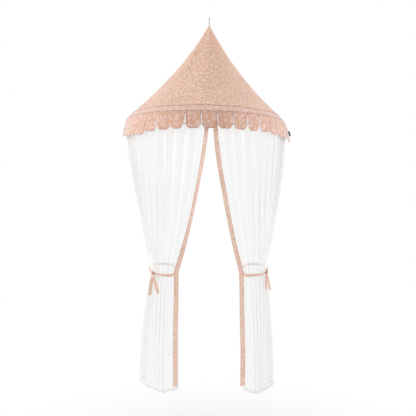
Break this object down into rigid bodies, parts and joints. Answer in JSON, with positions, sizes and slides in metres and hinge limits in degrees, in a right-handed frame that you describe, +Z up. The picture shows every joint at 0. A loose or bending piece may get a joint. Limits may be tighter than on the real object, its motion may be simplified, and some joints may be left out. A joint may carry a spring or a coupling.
{
  "type": "bed crown canopy",
  "caption": "Half-round wall-hung bed crown canopy: printed conical hood, hoop with scalloped valance and two sheer curtains drawn in by knotted tie-backs.",
  "frame": {"origin": "the hang point, inside the top of the cord loop, where the hook bears", "axes": "+Z up, +X to the right as seen from the room, +Y into the wall, so the curtains open towards -Y"},
  "size_m": [1.1138, 0.5552, 2.4059],
  "materials": {
    "printed_cotton": "plain-woven cotton with a small all-over print",
    "printed_binding": "folded printed cotton strip, stitched along both edges",
    "tie_tape": "narrow folded tape of the printed cotton",
    "tulle": "sheer white polyester tulle",
    "header_tape": "woven white gathering tape",
    "cord": "thin twisted cotton cord",
    "hoop_steel": "thin-walled steel tube, powder coated white",
    "corner_plastic": "moulded white plastic",
    "label_cloth": "woven ribbon, bare"
  },
  "bodies": {
    "hanger": {"hang_loop": "cord"},
    "crown": {"hood": "printed_cotton", "valance_band": "printed_cotton", "scallop_01": "printed_cotton", "scallop_02": "printed_cotton", "scallop_03": "printed_cotton", "scallop_04": "printed_cotton", "scallop_05": "printed_cotton", "scallop_06": "printed_cotton", "scallop_07": "printed_cotton", "scallop_08": "printed_cotton", "scallop_09": "printed_cotton", "scallop_10": "printed_cotton", "scallop_11": "printed_cotton", "scallop_12": "printed_cotton", "scallop_13": "printed_cotton", "scallop_14": "printed_cotton", "scallop_15": "printed_cotton", "scallop_16": "printed_cotton", "scallop_17": "printed_cotton", "scallop_18": "printed_cotton", "scallop_19": "printed_cotton", "side_label": "label_cloth", "hoop_left_arc": "hoop_steel", "hoop_right_arc": "hoop_steel", "hoop_front_ferrule": "hoop_steel", "hoop_corner_left": "corner_plastic", "hoop_corner_right": "corner_plastic", "back_bar": "hoop_steel", "header_tape_left": "header_tape", "header_tape_right": "header_tape", "curtain_upper_left": "tulle", "curtain_upper_right": "tulle", "front_trim_upper_left": "printed_binding", "front_trim_upper_right": "printed_binding"},
    "left_drape": {"curtain_lower_left": "tulle", "front_trim_lower_left": "printed_binding", "tieback_band_left": "tie_tape", "tieback_knot_left": "tie_tape"},
    "right_drape": {"curtain_lower_right": "tulle", "front_trim_lower_right": "printed_binding", "tieback_band_right": "tie_tape", "tieback_knot_right": "tie_tape"},
    "left_tail_a": {"tieback_tail_a_left": "tie_tape"},
    "left_tail_b": {"tieback_tail_b_left": "tie_tape"},
    "right_tail_a": {"tieback_tail_a_right": "tie_tape"},
    "right_tail_b": {"tieback_tail_b_right": "tie_tape"}
  },
  "joints": [
    {"name": "crown_swing", "type": "hinge", "parent": "hanger", "child": "crown", "pos_m": [0, 0, -0.0673], "axis": [1, 0, 0], "range_deg": [-14, 0]},
    {"name": "left_drape_sway", "type": "hinge", "parent": "crown", "child": "left_drape", "pos_m": [-0.3258, -0.29, -0.705], "axis": [0, 1, 0], "range_deg": [-4, 4], "deforming": ["curtain_upper_left", "front_trim_upper_left"]},
    {"name": "right_drape_sway", "type": "hinge", "parent": "crown", "child": "right_drape", "pos_m": [0.308, -0.31, -0.715], "axis": [0, 1, 0], "range_deg": [-4, 4], "deforming": ["curtain_upper_right", "front_trim_upper_right"]},
    {"name": "left_tail_a_swing", "type": "hinge", "parent": "left_drape", "child": "left_tail_a", "pos_m": [-0.33807, -0.40897, -1.66156], "axis": [-0.718, -0.6961, 0], "range_deg": [-12, 12]},
    {"name": "left_tail_b_swing", "type": "hinge", "parent": "left_drape", "child": "left_tail_b", "pos_m": [-0.33807, -0.40897, -1.66156], "axis": [-0.718, -0.6961, 0], "range_deg": [-12, 12]},
    {"name": "right_tail_a_swing", "type": "hinge", "parent": "right_drape", "child": "right_tail_a", "pos_m": [0.34569, -0.39092, -1.65872], "axis": [0.8282, -0.5604, 0], "range_deg": [-12, 12]},
    {"name": "right_tail_b_swing", "type": "hinge", "parent": "right_drape", "child": "right_tail_b", "pos_m": [0.34569, -0.39092, -1.65872], "axis": [0.8282, -0.5604, 0], "range_deg": [-12, 12]}
  ]
}
